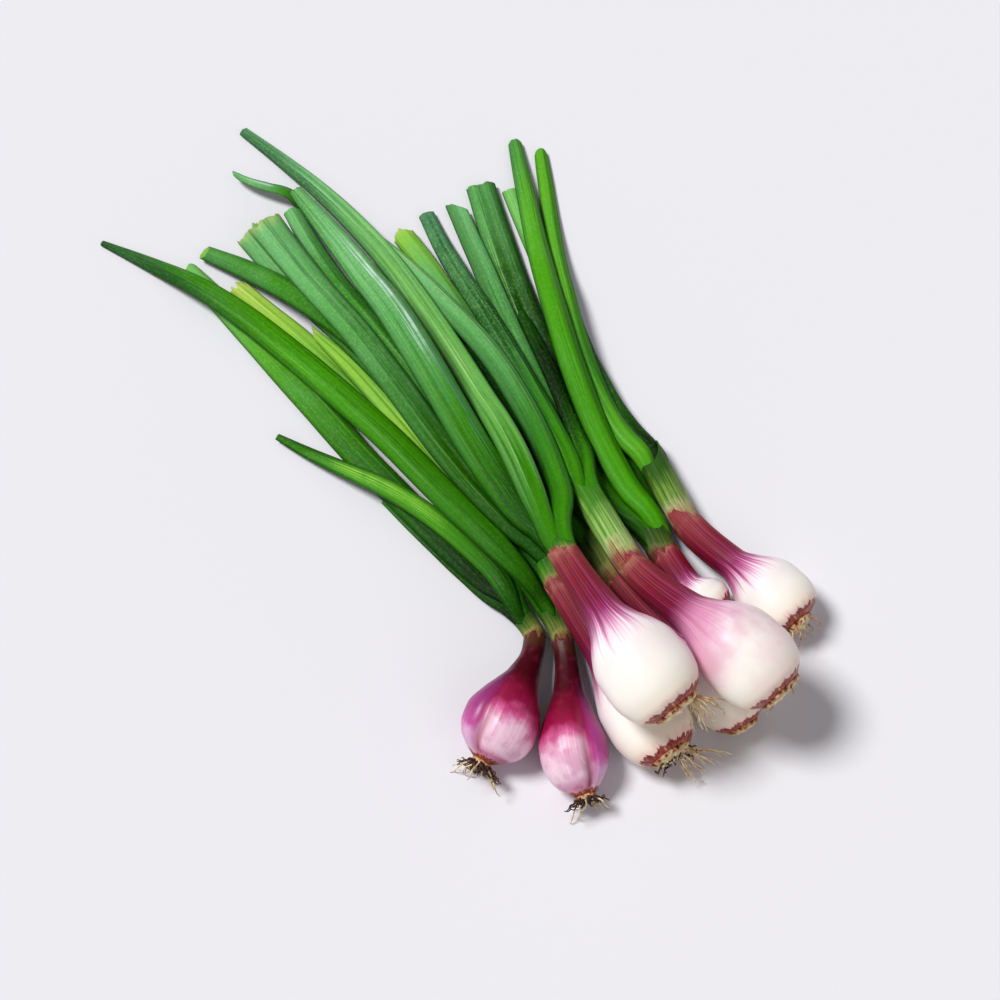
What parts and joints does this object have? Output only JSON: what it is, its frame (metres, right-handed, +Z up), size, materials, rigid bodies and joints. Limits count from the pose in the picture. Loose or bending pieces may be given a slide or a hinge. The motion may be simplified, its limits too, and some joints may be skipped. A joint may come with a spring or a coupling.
{
  "type": "spring onion bunch",
  "caption": "Loose bunch of spring onions lying on its side: round bulbs with cut root plates, necks, stems and a fan of long hollow leaves.",
  "frame": {"origin": "on the surface the bunch lies on, in the middle of its footprint", "axes": "+Z up, +X towards the bulbs along the length of the bunch, -X towards the leaf tips"},
  "size_m": [0.3664, 0.201, 0.0635],
  "materials": {
    "white_bulb": "ivory-white onion skin with magenta streaks that run down from a dark red neck, satin",
    "red_bulb": "glossy maroon onion skin that fades to magenta and pale lilac on the belly",
    "stem": "pale green leaf sheath with fine lengthwise stripes, satin",
    "leaf": "green leaf with a bluish bloom towards its tip and fine lengthwise veins, satin",
    "pale_leaf": "yellow-green leaf with fine lengthwise veins, satin",
    "root": "dry brown root plate and roots, matt"
  },
  "bodies": {
    "root": {"onion_a_bulb": "red_bulb", "onion_a_stem": "stem", "onion_a_roots": "root", "onion_b_bulb": "red_bulb", "onion_b_stem": "stem", "onion_b_roots": "root", "onion_d_bulb": "white_bulb", "onion_d_stem": "stem", "onion_d_roots": "root", "onion_c_bulb": "white_bulb", "onion_c_stem": "stem", "onion_c_roots": "root", "onion_h_bulb": "white_bulb", "onion_h_stem": "stem", "onion_h_roots": "root", "onion_e_bulb": "white_bulb", "onion_e_stem": "stem", "onion_e_roots": "root", "onion_g_bulb": "white_bulb", "onion_g_stem": "stem", "onion_g_roots": "root", "onion_f_bulb": "white_bulb", "onion_f_stem": "stem", "onion_f_roots": "root", "onion_a_leaf_short": "leaf", "onion_a_leaf_outer": "leaf", "onion_a_leaf_right": "leaf", "onion_a_leaf_light": "leaf", "onion_g_leaf_back": "leaf", "onion_f_leaf_short": "leaf", "onion_g_leaf_broad": "leaf", "onion_g_leaf_bright": "leaf", "onion_h_leaf_under": "leaf", "onion_h_leaf_inner": "pale_leaf", "onion_b_leaf_ragged": "pale_leaf", "onion_b_leaf_yellow": "pale_leaf", "onion_b_leaf_long": "leaf", "onion_d_leaf_back": "leaf", "onion_d_leaf_curled": "leaf", "onion_h_leaf_outer": "leaf", "onion_e_leaf_under": "leaf", "onion_e_leaf_dark": "leaf", "onion_d_leaf_broad": "leaf", "onion_c_leaf_silver": "leaf", "onion_f_leaf_long": "leaf", "onion_c_leaf_broad": "leaf", "onion_g_leaf_long": "leaf", "onion_c_leaf_right": "leaf", "onion_c_leaf_long": "leaf"}
  },
  "joints": []
}
